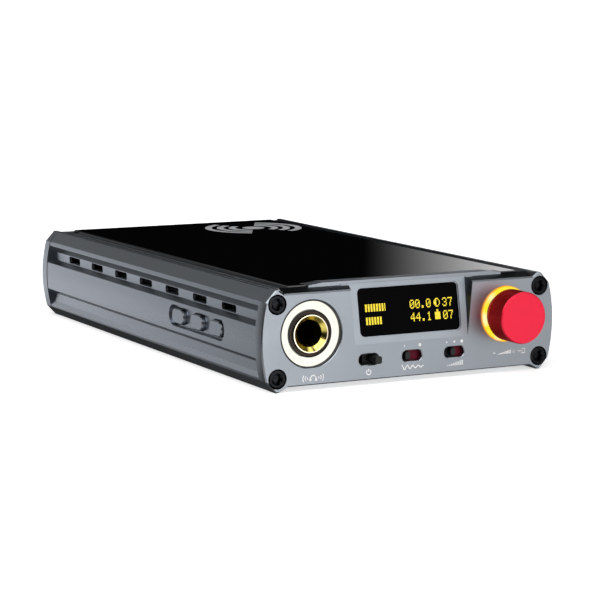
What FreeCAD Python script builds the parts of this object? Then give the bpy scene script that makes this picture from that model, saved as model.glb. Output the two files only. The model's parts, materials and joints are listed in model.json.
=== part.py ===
import FreeCAD, Part
import math
import os

# Desktop DAC and headphone amplifier: a grooved aluminium extrusion closed by two
# end plates, with a black glass top, and the audio electronics inside.
# Millimetres. +X is to the right seen from the front, +Y points to the rear, +Z up.
# The origin is under the middle of the whole device, on the surface it stands on.
# Most places are given by their depth behind the front face, called depth below.

os.makedirs("parts", exist_ok=True)

Vec = FreeCAD.Vector
ACROSS = Vec(1, 0, 0)
REARWARD = Vec(0, 1, 0)
UP = Vec(0, 0, 1)

# ---- driving dimensions ----
WIDTH = 80.0
HEIGHT = 24.0
BODY_LENGTH = 141.4
KNOB_STAND = 8.2
FRONT_Y = -(BODY_LENGTH - KNOB_STAND) / 2
PLATE_THICK = 3.5
TUBE_START = PLATE_THICK
TUBE_END = BODY_LENGTH - PLATE_THICK
GAP = 0.1
OVERSHOOT = 1.0
SMALL = 0.001
NEARLY = 0.01

# cross-section: four rails, bowed sides, two different grooves a side
MID_Z = HEIGHT / 2
PLATE_APEX_X = WIDTH / 2
TUBE_APEX_X = PLATE_APEX_X - 0.1
SIDE_RADIUS = 36.6
RAIL_X = 35.9
RAIL_FLAT = 0.8
FACET_DROP = 2.7
UPPER_LIP_Z = 20.3
GROOVE_FLOOR_X = 38.0
GROOVE_FLOOR_TOP = 18.6
GROOVE_FLOOR_BOTTOM = 16.4
BAND_TOP_Z = 15.5
BAND_BOTTOM_Z = 7.9
LOWER_WALL_X = 38.1
LOWER_WALL_Z = 6.8
LOWER_CREASE_X = 38.3
LOWER_CREASE_Z = 4.5
LOWER_LIP_Z = 3.3
BELLY_Z = 1.2
BELLY_X = 33.2
SEAT_Z = 22.9
SEAT_X = 31.5
VALLEY_Z = 23.4
VALLEY_X = 32.2
EAR_FOOT_X = 34.0
FACE_TOP_Z = 23.0
PLATE_TOP_Z = 24.0
REAR_PLATE_TOP_Z = 23.6
EDGE_BEVEL = 0.3
MOUTH_BEVEL = 0.15
PROFILE_ROUND = 0.3
BAND_ROUND = 0.35

# inside of the extrusion
CAVITY_X = 35.3
CAVITY_BOTTOM = 2.9
CAVITY_TOP = 21.3
CAVITY_CHAMFER = 3.0
RELIEF_X = 37.2
RELIEF_BOTTOM = 9.0
RELIEF_TOP = 15.0
CHANNEL_BOTTOM = 16.3
CHANNEL_TOP = 18.7
BOARD_Z = 5.4
BOARD_THICK = 1.6
BOARD_TOP = BOARD_Z + BOARD_THICK
BOARD_HALF = 34.4
RIB_X = 33.6
RIB_HEIGHT = 0.75
SLOT_PLAY = 0.05

# vents in the upper groove of both sides
VENT_COUNT = 7
VENT_FIRST = 21.4
VENT_PITCH = 16.6
VENT_LENGTH = 8.0
VENT_HEIGHT = 1.9
VENT_CORNER = 0.6
VENT_Z = (GROOVE_FLOOR_TOP + GROOVE_FLOOR_BOTTOM) / 2

# glass top
PANEL_HALF = SEAT_X - GAP
PANEL_THICK = 1.4
PANEL_CHAMFER = 0.2

# raised lip of the front plate over the middle of the glass
LIP_START = 2.8
LIP_END = 6.5
LIP_TOP_Z = 24.7
LIP_TOP_HALF = 22.8
LIP_SHOULDER_Z = 24.25
LIP_HALF = 26.4
LIP_BOTTOM_Z = SEAT_Z + 0.05

# corner screws
SCREW_Z = 3.3
SCREW_HEAD_R = 2.3
SCREW_HEAD_THICK = 1.6
SCREW_SINK = 1.6
SCREW_HOLE_R = 2.4
SCREW_SHANK_R = 1.2
SCREW_TAP_R = 1.25
SCREW_TAP_EXTRA = 2.0
SCREW_LENGTH = 8.0
SCREW_CLEAR_R = 1.4
HEX_FLATS = 2.0
HEX_DEPTH = 1.0
SOCKET_BEVEL_R = 1.45
SOCKET_BEVEL_DEPTH = 0.25
SCREW_DOME = 0.45

# headphone jack
JACK_X = -27.0
JACK_Z = 13.25
JACK_BORE_R = 3.25
JACK_MOUTH_R = 4.25
JACK_MOUTH_DEPTH = 1.2
JACK_SLEEVE_FRONT = 0.3
JACK_SLEEVE_R = 4.5
JACK_SLEEVE_END = 9.0
COLLAR_IN_R = 4.6
COLLAR_OUT_R = 5.6
COLLAR_FRONT = 0.7
COLLAR_GROOVE_R = 5.0
COLLAR_GROOVE_WIDTH = 0.3
LIGHT_RING_OUT_R = 7.95
LIGHT_RING_IN_R = 5.75
LIGHT_RING_FRONT = 1.1
LIGHT_RING_BACK = 3.0
JACK_RECESS_R = 8.03
TRIM_OUT_R = 8.0
TRIM_IN_R = 7.75
TRIM_FRONT = 0.15
HOUSING_HALF = 6.5
HOUSING_END = 29.0
HOUSING_BORE_END = 27.0
CONTACT_THICK = 0.4
CONTACT_WIDTH = 2.4
CONTACT_DEPTHS = (11.5, 17.0, 22.5)
CONTACT_LENGTH = 3.2
CONTACT_GAP = 0.25

# display
POCKET_BOTTOM_Z = 9.8
POCKET_HALF = 15.5
POCKET_TOP_HALF = 15.96
POCKET_MOUTH_HALF = 16.97
POCKET_CUT_TOP = 26.0
POCKET_RISE = 14.2
POCKET_DEPTH = 2.6
POCKET_TILT = math.degrees(math.atan2(POCKET_DEPTH, POCKET_RISE))
WINDOW_WIDTH = 27.4
WINDOW_HEIGHT = 11.5
WINDOW_RISE = 7.45
WINDOW_CORNER = 1.2
WINDOW_BEVEL = 0.5
LENS_WIDTH = 29.0
LENS_HEIGHT = 12.5
LENS_SINK = 0.6
LENS_THICK = 1.0
LENS_PLAY = 0.1
OLED_THICK = 1.3
OLED_MARGIN = 0.3
BOSS_HALF = 18.0
BOSS_BOTTOM_Z = 8.8
BOSS_END = LIP_END
NOTCH_PLAY = 0.2

# slide switches: slot centre, slot length, slider rest place from the slot centre
SLOT_Z = 6.1
SLOT_HEIGHT = 2.7
SLOT_WALL = 1.6
SWITCHES = {
    "power": {"x": -11.8, "slot": 5.3, "rest": 1.6, "nub": 1.7, "stand": 2.0},
    "damping": {"x": 0.0, "slot": 5.4, "rest": -0.9, "nub": 1.3, "stand": -0.5},
    "gain": {"x": 11.7, "slot": 5.5, "rest": 0.0, "nub": 1.3, "stand": -0.5},
}
SLOT_CORNER = 1.2
NUB_HEIGHT = 1.8
NUB_ROUND = 0.5
SHELL_HALF = 4.3
SHELL_START = 1.7
SHELL_END = 5.7
SHELL_HALF_HEIGHT = 1.8
SHELL_WALL = 0.3
SHELL_WINDOW_HALF = 2.95
SLIDER_HALF = 2.2
SLIDER_START = 2.2
SLIDER_END = 4.6
SLIDER_HALF_HEIGHT = 1.3
RECESS_HALF = 16.3
RECESS_BOTTOM_Z = 4.1
RECESS_TOP_Z = 8.2

# volume and input knob, a push encoder
KNOB_X = 26.1
KNOB_Z = 14.4
KNOB_R = 6.3
KNOB_BACK = -1.8
KNOB_CAP = 0.6
KNOB_BEVEL = 0.25
KNOB_TEETH = 90
KNOB_TOOTH_DEPTH = 0.18
KNOB_HOLLOW_R = 5.5
KNOB_HUB_R = 4.7
KNOB_HUB_END = -2.6
KNOB_HOLLOW_FRONT = -6.2
SHAFT_R = 3.0
SHAFT_FRONT = -7.0
SHAFT_END = 4.6
SHAFT_PLAY = 0.05
BUSHING_R = 3.5
BUSHING_FRONT = -1.9
ENCODER_START = 3.6
ENCODER_END = 9.6
ENCODER_HALF = 5.8
ENCODER_ROOM_R = 3.4
ENCODER_ROOM_END = 6.2
PIN_HEAD_R = 2.6
PIN_HEAD_START = 4.65
PIN_HEAD_END = 5.2
PIN_STEM_R = 1.0
PIN_STEM_END = 7.4
PIN_ROOM_R = 1.1
PIN_ROOM_END = 8.4
NUT_FLATS = 9.0
NUT_FRONT = -1.6
KNOB_LIGHT_OUT_R = 6.85
KNOB_LIGHT_IN_R = 5.45
KNOB_LIGHT_FRONT = -0.3
KNOB_LIGHT_BACK = 1.5
BUSHING_CLEAR_R = 3.6

# side buttons, on the left
BUTTON_NAMES = ("front", "middle", "rear")
BUTTON_FIRST = 25.3
BUTTON_PITCH = 10.95
BUTTON_LENGTH = 7.0
BUTTON_HEIGHT = 3.8
BUTTON_Z = MID_Z
BUTTON_PLAY = 0.2
BUTTON_STAND = 0.95
BUTTON_FLANGE = 0.7
BUTTON_FLANGE_THICK = 0.55
BUTTON_PAD_R = 1.2
BUTTON_PAD_X = 36.25
BUTTON_EDGE = 0.25
TRAY_LENGTH = 32.2
TRAY_HEIGHT = 5.4
TRAY_FLOOR_X = 38.9
TACT_FACE_X = 35.8
TACT_BODY_X = 35.4
TACT_BOARD_X = 34.3
TACT_BOARD_THICK = 0.6
TACT_HALF = 2.25
TACT_STEM_R = 1.0
TACT_BOARD_START = 18.0
TACT_BOARD_END = 54.0
TACT_BOARD_BOTTOM = 8.2
TACT_BOARD_TOP = 16.0

# boards and the parts on them
BOARD_START = 7.2
BOARD_END = 133.6
FRONT_BOARD_START = 9.7
FRONT_BOARD_THICK = 1.2
FRONT_BOARD_LEFT = -18.5
FRONT_BOARD_RIGHT = 32.0
FRONT_BOARD_TOP = 20.6
CAN_CENTRE = (-17.0, 74.0)
CAN_SIZE = 26.0
CAN_HEIGHT = 2.9
CAN_WALL = 0.3
PROCESSOR_SIZE = 12.0
PROCESSOR_THICK = 1.2
DAC_CHIP_SIZE = 7.0
DAC_CHIP_THICK = 0.9
DAC_CHIP_CENTRES = ((8.0, 66.0), (8.0, 80.0))
OP_AMP_SIZE = (5.0, 6.0)
OP_AMP_THICK = 1.7
OP_AMP_X = (-14.0, -6.0, 2.0, 10.0)
OP_AMP_DEPTH = 26.0
CAPACITOR_R = 3.2
CAPACITOR_HEIGHT = 11.0
CAPACITOR_X = (-12.0, -4.0, 4.0, 12.0, 20.0, 28.0)
CAPACITOR_DEPTH = 38.0
CAPACITOR_VENT_DEPTH = 0.2
INDUCTOR_SIZE = 6.0
INDUCTOR_HEIGHT = 3.0
INDUCTOR_CENTRES = ((24.0, 96.0), (24.0, 106.0), (14.0, 106.0))
CRYSTAL_SIZE = (3.2, 2.5)
CRYSTAL_HEIGHT = 0.9
CRYSTAL_CENTRES = ((-26.0, 94.0), (-20.0, 94.0))

# battery
CELL_HALF = 29.0
CELL_START = 50.0
CELL_END = 116.0
CELL_BOTTOM = 11.2
CELL_THICK = 4.6
CELL_COUNT = 2
CELL_PITCH = 4.7
CELL_ROUND = 1.6
TAPE_HALF = 25.0
TAPE_INSET = 8.0
LEAD_X = (-1.25, 1.25)
LEAD_R = 0.6
LEAD_BEND = 2.5
LEAD_TOP_Z = 13.5
CONNECTOR_HALF = 3.0
CONNECTOR_DEPTH_HALF = 1.8

# rear sockets
SOCKET_SINK = 0.2
SOCKET_END = BODY_LENGTH - SOCKET_SINK
USB_WIDTH = 8.94
USB_HEIGHT = 3.26
USB_WALL = 0.3
USB_LENGTH = 7.4
USB_Z = BOARD_TOP + USB_HEIGHT / 2
USB_TONGUE_WIDTH = 6.7
USB_TONGUE_THICK = 0.7
USB_BASE_LENGTH = 1.4
USB_TONGUE_SINK = 0.8
USB_CLEAR = 0.2
USB_X = {"data": 6.0, "power": -8.0}
MINI_Z = 12.5
MINI_BORE_R = 1.8
MINI_BARREL_R = 3.0
MINI_LENGTH = 12.2
MINI_HOUSING_HALF = 3.9
MINI_HOUSING_START = 127.5
MINI_HOUSING_END = 136.5
MINI_CLEAR = 0.1
MINI_X = {"line_out": -24.0, "digital_in": 22.0}


# ---- helpers ----
def at(x, depth, z):
    """The point at this depth behind the front face."""
    return Vec(x, FRONT_Y + depth, z)


def box(x0, x1, depth0, depth1, z0, z1):
    return Part.makeBox(x1 - x0, depth1 - depth0, z1 - z0, at(x0, depth0, z0))


def block_on_board(centre, size_x, size_y, height):
    """A chip or block that stands on the main board."""
    x, depth = centre
    return box(x - size_x / 2, x + size_x / 2, depth - size_y / 2, depth + size_y / 2,
               BOARD_TOP, BOARD_TOP + height)


def rod(x, z, radius, depth0, depth1):
    """A cylinder along the depth."""
    return Part.makeCylinder(radius, depth1 - depth0, at(x, depth0, z), REARWARD)


def cone(x, z, radius0, radius1, depth0, depth1):
    return Part.makeCone(radius0, radius1, depth1 - depth0, at(x, depth0, z), REARWARD)


def tube(x, z, radius_in, radius_out, depth0, depth1):
    return rod(x, z, radius_out, depth0, depth1).cut(rod(x, z, radius_in, depth0, depth1))


def prism(outline, depth0, depth1):
    """A straight bar whose cross-section is the polygon of (x, z) points."""
    corners = [at(x, depth0, z) for x, z in outline]
    face = Part.Face(Part.makePolygon(corners + corners[:1]))
    return face.extrude(Vec(0, depth1 - depth0, 0))


def hexagon(x, z, flats, depth0, depth1):
    radius = flats / math.sqrt(3)
    turns = [math.radians(60 * k) for k in range(6)]
    return prism([(x + radius * math.cos(a), z + radius * math.sin(a)) for a in turns], depth0, depth1)


def edges_along(shape, direction):
    """The shape's straight edges in this direction."""
    straight = [e for e in shape.Edges if len(e.Vertexes) == 2 and e.Curve.TypeId == "Part::GeomLine"]
    return [e for e in straight if abs(e.Curve.Direction.dot(direction)) > 1 - SMALL]


def edges_at(shape, direction, place):
    """The edges that lie wholly in the plane across this direction."""
    return [e for e in shape.Edges if all(abs(v.Point.dot(direction) - place) < SMALL for v in e.Vertexes)]


def rounded_bar(x, z, width, height, corner, depth0, depth1):
    """A bar along the depth with four rounded corners."""
    bar = box(x - width / 2, x + width / 2, depth0, depth1, z - height / 2, z + height / 2)
    return bar.makeFillet(corner, edges_along(bar, REARWARD))


def stadium_x(depth, z, length, height, x0, x1):
    """A bar along X whose section is a stadium that is long in depth."""
    radius = height / 2
    half = length / 2 - radius
    middle = box(x0, x1, depth - half, depth + half, z - radius, z + radius)
    ends = [Part.makeCylinder(radius, x1 - x0, at(x0, depth + s * half, z), ACROSS) for s in (-1, 1)]
    return middle.multiFuse(ends).removeSplitter()


def bow_x(apex, z):
    """Half-width of a bowed side at height z."""
    return apex - SIDE_RADIUS + math.sqrt(SIDE_RADIUS ** 2 - (z - MID_Z) ** 2)


def bow_arc(apex, z0, z1):
    """The bowed side's edge from height z0 to z1, on the right."""
    points = [at(bow_x(apex, z), 0, z) for z in (z0, (z0 + z1) / 2, z1)]
    return Part.Arc(*points).toShape()


def mirrored_bar(edges, depth0, depth1):
    """A bar from the right half of its outline, closed along the middle and mirrored."""
    face = Part.Face(Part.Wire(Part.__sortEdges__(edges)))
    half = face.extrude(Vec(0, depth1 - depth0, 0))
    half.translate(Vec(0, depth0, 0))
    other = half.mirror(Vec(0, 0, 0), ACROSS)
    return half.fuse(other).removeSplitter()


def path(points):
    """Straight edges through (x, z) points."""
    corners = [at(x, 0, z) for x, z in points]
    return [Part.LineSegment(a, b).toShape() for a, b in zip(corners, corners[1:])]


def both_sides(shape):
    return [shape, shape.mirror(Vec(0, 0, 0), ACROSS)]


def save(name, shapes):
    """Writes one node. Several shapes stay separate solids."""
    whole = shapes if isinstance(shapes, Part.Shape) else Part.makeCompound(shapes)
    whole.exportStep("parts/" + name + ".step")


# ---- cross-sections ----
def plate_bar(top_z, depth0, depth1):
    """An end plate's full outline, with its four ears."""
    top_out = (RAIL_X + RAIL_FLAT / 2, HEIGHT)
    top_in = (RAIL_X - RAIL_FLAT / 2, HEIGHT)
    facet_top = (bow_x(PLATE_APEX_X, HEIGHT - FACET_DROP), HEIGHT - FACET_DROP)
    facet_bottom = (facet_top[0], FACET_DROP)
    ear_slope = top_in[0] - (HEIGHT - top_z) * (top_in[0] - EAR_FOOT_X) / (HEIGHT - FACE_TOP_Z)
    ear_foot = [] if top_z == HEIGHT else [(ear_slope, top_z)]
    edges = path([(0, top_z)] + ear_foot + [top_in, top_out, facet_top])
    edges.append(bow_arc(PLATE_APEX_X, HEIGHT - FACET_DROP, FACET_DROP))
    edges += path([facet_bottom, (top_out[0], 0), (top_in[0], 0), (BELLY_X, BELLY_Z), (0, BELLY_Z),
                   (0, top_z)])
    return mirrored_bar(edges, depth0, depth1)


def on_bow(z):
    """The point of the extrusion's bowed side at height z."""
    return (bow_x(TUBE_APEX_X, z), z)


def upper_groove():
    """Flat-floored groove, from its lip down to the middle band."""
    return [on_bow(UPPER_LIP_Z), (GROOVE_FLOOR_X, GROOVE_FLOOR_TOP),
            (GROOVE_FLOOR_X, GROOVE_FLOOR_BOTTOM), on_bow(BAND_TOP_Z)]


def lower_groove():
    """Groove that is deep under the middle band and runs out in two slopes to its lip."""
    return [on_bow(BAND_BOTTOM_Z), (LOWER_WALL_X, LOWER_WALL_Z),
            (LOWER_CREASE_X, LOWER_CREASE_Z), on_bow(LOWER_LIP_Z)]


def tube_outside():
    """The extrusion's outside, still solid."""
    rail_out = RAIL_X + RAIL_FLAT / 2
    rail_in = RAIL_X - RAIL_FLAT / 2
    facet_x = bow_x(TUBE_APEX_X, HEIGHT - FACET_DROP)
    edges = path([(0, SEAT_Z), (SEAT_X, SEAT_Z), (SEAT_X, VALLEY_Z), (VALLEY_X, VALLEY_Z),
                  (rail_in, HEIGHT), (rail_out, HEIGHT), (facet_x, HEIGHT - FACET_DROP)])
    edges.append(bow_arc(TUBE_APEX_X, HEIGHT - FACET_DROP, UPPER_LIP_Z))
    edges += path(upper_groove())
    edges.append(bow_arc(TUBE_APEX_X, BAND_TOP_Z, BAND_BOTTOM_Z))
    edges += path(lower_groove())
    edges.append(bow_arc(TUBE_APEX_X, LOWER_LIP_Z, FACET_DROP))
    edges += path([(facet_x, FACET_DROP), (rail_out, 0), (rail_in, 0), (BELLY_X, BELLY_Z),
                   (0, BELLY_Z), (0, SEAT_Z)])
    return rounded_corners(mirrored_bar(edges, TUBE_START, TUBE_END))


def rounded_corners(bar):
    """Softens the long corners of the rails, the groove lips and the middle bands."""
    rounds = {PROFILE_ROUND: (0, LOWER_LIP_Z, UPPER_LIP_Z, HEIGHT), BAND_ROUND: (BAND_BOTTOM_Z, BAND_TOP_Z)}
    for radius, heights in rounds.items():
        chosen = []
        for edge in edges_along(bar, REARWARD):
            corner = edge.Vertexes[0]
            if abs(corner.X) > EAR_FOOT_X and any(abs(corner.Z - z) < SMALL for z in heights):
                chosen.append(edge)
        bar = bar.makeFillet(radius, chosen)
    return bar


def tube_inside():
    """The extrusion's cavity: thick corners for the screws, thin walls behind the vents and the
    buttons, and ribs that hold the board."""
    c = CAVITY_CHAMFER
    corner_z = CAVITY_BOTTOM + c
    rib_top = BOARD_TOP + SLOT_PLAY
    ledge = BOARD_Z - SLOT_PLAY
    ledge_foot = ledge - RIB_HEIGHT
    channel_foot = CAVITY_X - c + CAVITY_TOP - CHANNEL_TOP
    right = [(0, CAVITY_TOP), (CAVITY_X - c, CAVITY_TOP), (channel_foot, CHANNEL_TOP),
             (RELIEF_X, CHANNEL_TOP), (RELIEF_X, CHANNEL_BOTTOM), (CAVITY_X, CHANNEL_BOTTOM),
             (CAVITY_X, RELIEF_TOP), (RELIEF_X, RELIEF_TOP), (RELIEF_X, RELIEF_BOTTOM),
             (CAVITY_X, RELIEF_BOTTOM), (CAVITY_X, rib_top + RIB_HEIGHT), (RIB_X, rib_top + RIB_HEIGHT),
             (RIB_X, rib_top), (CAVITY_X, rib_top), (CAVITY_X, corner_z),
             (CAVITY_X - (corner_z - ledge), ledge), (RIB_X, ledge), (RIB_X, ledge_foot),
             (CAVITY_X - (corner_z - ledge_foot), ledge_foot), (CAVITY_X - c, CAVITY_BOTTOM),
             (0, CAVITY_BOTTOM), (0, CAVITY_TOP)]
    return mirrored_bar(path(right), TUBE_START, TUBE_END)


# ---- enclosure ----
def screw_places():
    return [(sx * RAIL_X, z) for sx in (-1, 1) for z in (SCREW_Z, HEIGHT - SCREW_Z)]


def vents():
    """Through slots in the floor of the upper groove, on the right."""
    cuts = []
    for k in range(VENT_COUNT):
        depth = VENT_FIRST + k * VENT_PITCH
        slot = box(CAVITY_X, GROOVE_FLOOR_X, depth - VENT_LENGTH / 2,
                   depth + VENT_LENGTH / 2, VENT_Z - VENT_HEIGHT / 2, VENT_Z + VENT_HEIGHT / 2)
        cuts.append(slot.makeFillet(VENT_CORNER, edges_along(slot, ACROSS)))
    return cuts


def button_depths():
    return [BUTTON_FIRST + k * BUTTON_PITCH for k in range(len(BUTTON_NAMES))]


def chassis():
    body = tube_outside().cut(tube_inside())
    body = body.cut(Part.makeCompound([s for v in vents() for s in both_sides(v)]))
    for x, z in screw_places():
        reach = SCREW_LENGTH + SCREW_TAP_EXTRA
        body = body.cut(rod(x, z, SCREW_TAP_R, TUBE_START, TUBE_START + reach))
        body = body.cut(rod(x, z, SCREW_TAP_R, TUBE_END - reach, TUBE_END))
    tray_depth = button_depths()[1]
    body = body.cut(stadium_x(tray_depth, BUTTON_Z, TRAY_LENGTH, TRAY_HEIGHT, -WIDTH / 2, -TRAY_FLOOR_X))
    for depth in button_depths():
        body = body.cut(stadium_x(depth, BUTTON_Z, BUTTON_LENGTH + 2 * BUTTON_PLAY,
                                  BUTTON_HEIGHT + 2 * BUTTON_PLAY, -WIDTH / 2, -CAVITY_X))
    notch = BOSS_HALF + NOTCH_PLAY
    return body.cut(box(-notch, notch, TUBE_START, BOSS_END + NOTCH_PLAY, CAVITY_TOP, HEIGHT + OVERSHOOT))


def top_panel():
    """Black glass, notched at the front for the raised lip, with a small bevel all round."""
    glass = box(-PANEL_HALF, PANEL_HALF, TUBE_START + GAP, TUBE_END - GAP, SEAT_Z, SEAT_Z + PANEL_THICK)
    notch = LIP_HALF + GAP
    top = SEAT_Z + PANEL_THICK
    glass = glass.cut(box(-notch, notch, 0, LIP_END + GAP, 0, top + OVERSHOOT))
    return glass.makeChamfer(PANEL_CHAMFER, edges_at(glass, UP, top))


def screw_cuts(depth0, depth1, sink_start, sink_end):
    """Clearance holes and head recesses of an end plate."""
    cuts = []
    for x, z in screw_places():
        cuts.append(rod(x, z, SCREW_CLEAR_R, depth0, depth1))
        cuts.append(rod(x, z, SCREW_HOLE_R, sink_start, sink_end))
    return cuts


def tilted(shape):
    """Leans an upright shape at the front face back to the display pocket's slope."""
    leaning = shape.copy()
    leaning.rotate(at(0, 0, POCKET_BOTTOM_Z), ACROSS, -POCKET_TILT)
    return leaning


def tilted_plate(width, height, corner, start, end):
    """A plate parallel to the pocket's floor; start and end are measured into the device."""
    z = POCKET_BOTTOM_Z + WINDOW_RISE
    return tilted(rounded_bar(0, z, width, height, corner, start, end))


def pocket_cut():
    """The wedge in front of the display, with drafted side walls."""
    low = [at(s * POCKET_HALF, 0, POCKET_BOTTOM_Z) for s in (-1, 1)]
    mouth = [at(s * POCKET_MOUTH_HALF, 0, POCKET_CUT_TOP) for s in (-1, 1)]
    depth = POCKET_DEPTH * (POCKET_CUT_TOP - POCKET_BOTTOM_Z) / POCKET_RISE
    back = [at(s * POCKET_TOP_HALF, depth, POCKET_CUT_TOP) for s in (-1, 1)]
    loops = [[low[0], low[1], mouth[1], mouth[0]],
             [low[0], low[1], back[1], back[0]],
             [mouth[0], mouth[1], back[1], back[0]],
             [low[0], mouth[0], back[0]],
             [low[1], mouth[1], back[1]]]
    faces = [Part.Face(Part.makePolygon(loop + loop[:1])) for loop in loops]
    return Part.makeSolid(Part.makeShell(faces))


def window_cuts():
    """The window's opening, its stepped rim, and the room behind it for the lens."""
    opening = tilted_plate(WINDOW_WIDTH, WINDOW_HEIGHT, WINDOW_CORNER, -OVERSHOOT, LENS_SINK)
    rim = tilted_plate(WINDOW_WIDTH + WINDOW_BEVEL, WINDOW_HEIGHT + WINDOW_BEVEL,
                       WINDOW_CORNER + WINDOW_BEVEL / 2, -OVERSHOOT, WINDOW_BEVEL / 2)
    room = tilted_plate(LENS_WIDTH + 2 * LENS_PLAY, LENS_HEIGHT + 2 * LENS_PLAY, WINDOW_CORNER,
                        LENS_SINK, BOSS_END + OVERSHOOT)
    return [opening, rim, room]


def switch_slots():
    """The switches' slots, each with a small bevel at its mouth."""
    cuts = []
    for spec in SWITCHES.values():
        slot = rounded_bar(spec["x"], SLOT_Z, spec["slot"], SLOT_HEIGHT, SLOT_CORNER, 0, PLATE_THICK)
        mouth = rounded_bar(spec["x"], SLOT_Z, spec["slot"] + 2 * MOUTH_BEVEL,
                            SLOT_HEIGHT + 2 * MOUTH_BEVEL, SLOT_CORNER + MOUTH_BEVEL, 0, MOUTH_BEVEL)
        taper = mouth.makeChamfer(MOUTH_BEVEL - NEARLY, edges_at(mouth, REARWARD, FRONT_Y + MOUTH_BEVEL))
        cuts += [slot, taper]
    return cuts


def front_plate():
    plate = plate_bar(PLATE_TOP_Z, 0, PLATE_THICK)
    rise = (PLATE_TOP_Z - FACE_TOP_Z) / PLATE_THICK
    foot = EAR_FOOT_X
    shoulder = RAIL_X - RAIL_FLAT / 2
    over = HEIGHT + OVERSHOOT
    outline = [(-foot, FACE_TOP_Z), (foot, FACE_TOP_Z), (shoulder, HEIGHT), (shoulder, over),
               (-shoulder, over), (-shoulder, HEIGHT)]
    corners = [at(x, 0, z) for x, z in outline]
    slope = Part.Face(Part.makePolygon(corners + corners[:1]))
    plate = plate.cut(slope.extrude(Vec(0, PLATE_THICK, rise * PLATE_THICK)))
    plate = plate.makeChamfer(EDGE_BEVEL, edges_at(plate, REARWARD, FRONT_Y))
    lip = prism([(-LIP_HALF, LIP_BOTTOM_Z), (LIP_HALF, LIP_BOTTOM_Z), (LIP_HALF, LIP_SHOULDER_Z),
                 (LIP_TOP_HALF, LIP_TOP_Z), (-LIP_TOP_HALF, LIP_TOP_Z), (-LIP_HALF, LIP_SHOULDER_Z)],
                LIP_START, LIP_END)
    boss = box(-BOSS_HALF, BOSS_HALF, PLATE_THICK - OVERSHOOT, BOSS_END, BOSS_BOTTOM_Z, HEIGHT)
    plate = plate.multiFuse([lip, boss]).removeSplitter()
    cuts = [pocket_cut()] + window_cuts() + switch_slots()
    cuts.append(box(-RECESS_HALF, RECESS_HALF, SLOT_WALL, PLATE_THICK, RECESS_BOTTOM_Z, RECESS_TOP_Z))
    cuts += screw_cuts(0, PLATE_THICK, 0, SCREW_SINK)
    cuts.append(rod(JACK_X, JACK_Z, JACK_RECESS_R, 0, LIGHT_RING_BACK))
    cuts.append(cone(JACK_X, JACK_Z, JACK_RECESS_R + MOUTH_BEVEL, JACK_RECESS_R, 0, MOUTH_BEVEL))
    cuts.append(rod(JACK_X, JACK_Z, COLLAR_OUT_R + GAP, 0, PLATE_THICK))
    cuts.append(rod(KNOB_X, KNOB_Z, BUSHING_CLEAR_R, 0, PLATE_THICK))
    cuts.append(tube(KNOB_X, KNOB_Z, KNOB_LIGHT_IN_R - SHAFT_PLAY, KNOB_LIGHT_OUT_R + SHAFT_PLAY,
                     0, KNOB_LIGHT_BACK))
    for cut in cuts:
        plate = plate.cut(cut)
    return plate


def rear_plate():
    plate = plate_bar(REAR_PLATE_TOP_Z, TUBE_END, BODY_LENGTH)
    plate = plate.makeChamfer(EDGE_BEVEL, edges_at(plate, REARWARD, FRONT_Y + BODY_LENGTH))
    cuts = screw_cuts(TUBE_END, BODY_LENGTH, BODY_LENGTH - SCREW_SINK, BODY_LENGTH)
    for x in USB_X.values():
        cuts.append(rounded_bar(x, USB_Z, USB_WIDTH + 2 * USB_CLEAR, USB_HEIGHT + 2 * USB_CLEAR,
                                USB_HEIGHT / 2 + USB_CLEAR - NEARLY, TUBE_END, BODY_LENGTH))
    for x in MINI_X.values():
        cuts.append(rod(x, MINI_Z, MINI_BARREL_R + MINI_CLEAR, TUBE_END, BODY_LENGTH))
    for cut in cuts:
        plate = plate.cut(cut)
    return plate


def screw(x, z):
    """A front corner screw, its head's top just inside the face."""
    top = SCREW_SINK - SCREW_HEAD_THICK
    head = rod(x, z, SCREW_HEAD_R, top, SCREW_SINK)
    head = head.makeFillet(SCREW_DOME, [e for e in edges_at(head, REARWARD, FRONT_Y + top) if e.Closed])
    shank = rod(x, z, SCREW_SHANK_R, SCREW_SINK, SCREW_SINK + SCREW_LENGTH)
    socket = hexagon(x, z, HEX_FLATS, top, top + HEX_DEPTH)
    bevel = cone(x, z, SOCKET_BEVEL_R, HEX_FLATS / 2, top, top + SOCKET_BEVEL_DEPTH)
    return head.fuse(shank).removeSplitter().cut(socket).cut(bevel)


def rear_screws():
    """The front screws turned round onto the rear plate."""
    middle = at(0, BODY_LENGTH / 2, 0)
    turned = []
    for x, z in screw_places():
        copy = screw(x, z)
        copy.rotate(middle, UP, 180)
        turned.append(copy)
    return turned


# ---- headphone jack ----
def jack_sleeve():
    """Gold bushing with a coned mouth."""
    sleeve = tube(JACK_X, JACK_Z, JACK_BORE_R, JACK_SLEEVE_R, JACK_SLEEVE_FRONT, JACK_SLEEVE_END)
    mouth = cone(JACK_X, JACK_Z, JACK_MOUTH_R, JACK_BORE_R, JACK_SLEEVE_FRONT, JACK_MOUTH_DEPTH)
    return sleeve.cut(mouth)


def jack_collar():
    """Dark ring nut round the bushing, with a turned groove."""
    collar = tube(JACK_X, JACK_Z, COLLAR_IN_R, COLLAR_OUT_R, COLLAR_FRONT, PLATE_THICK)
    half = COLLAR_GROOVE_WIDTH / 2
    turned = tube(JACK_X, JACK_Z, COLLAR_GROOVE_R - half, COLLAR_GROOVE_R + half,
                  COLLAR_FRONT, COLLAR_FRONT + half)
    return collar.cut(turned)


def jack_light_ring():
    return tube(JACK_X, JACK_Z, LIGHT_RING_IN_R, LIGHT_RING_OUT_R, LIGHT_RING_FRONT, LIGHT_RING_BACK)


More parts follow.
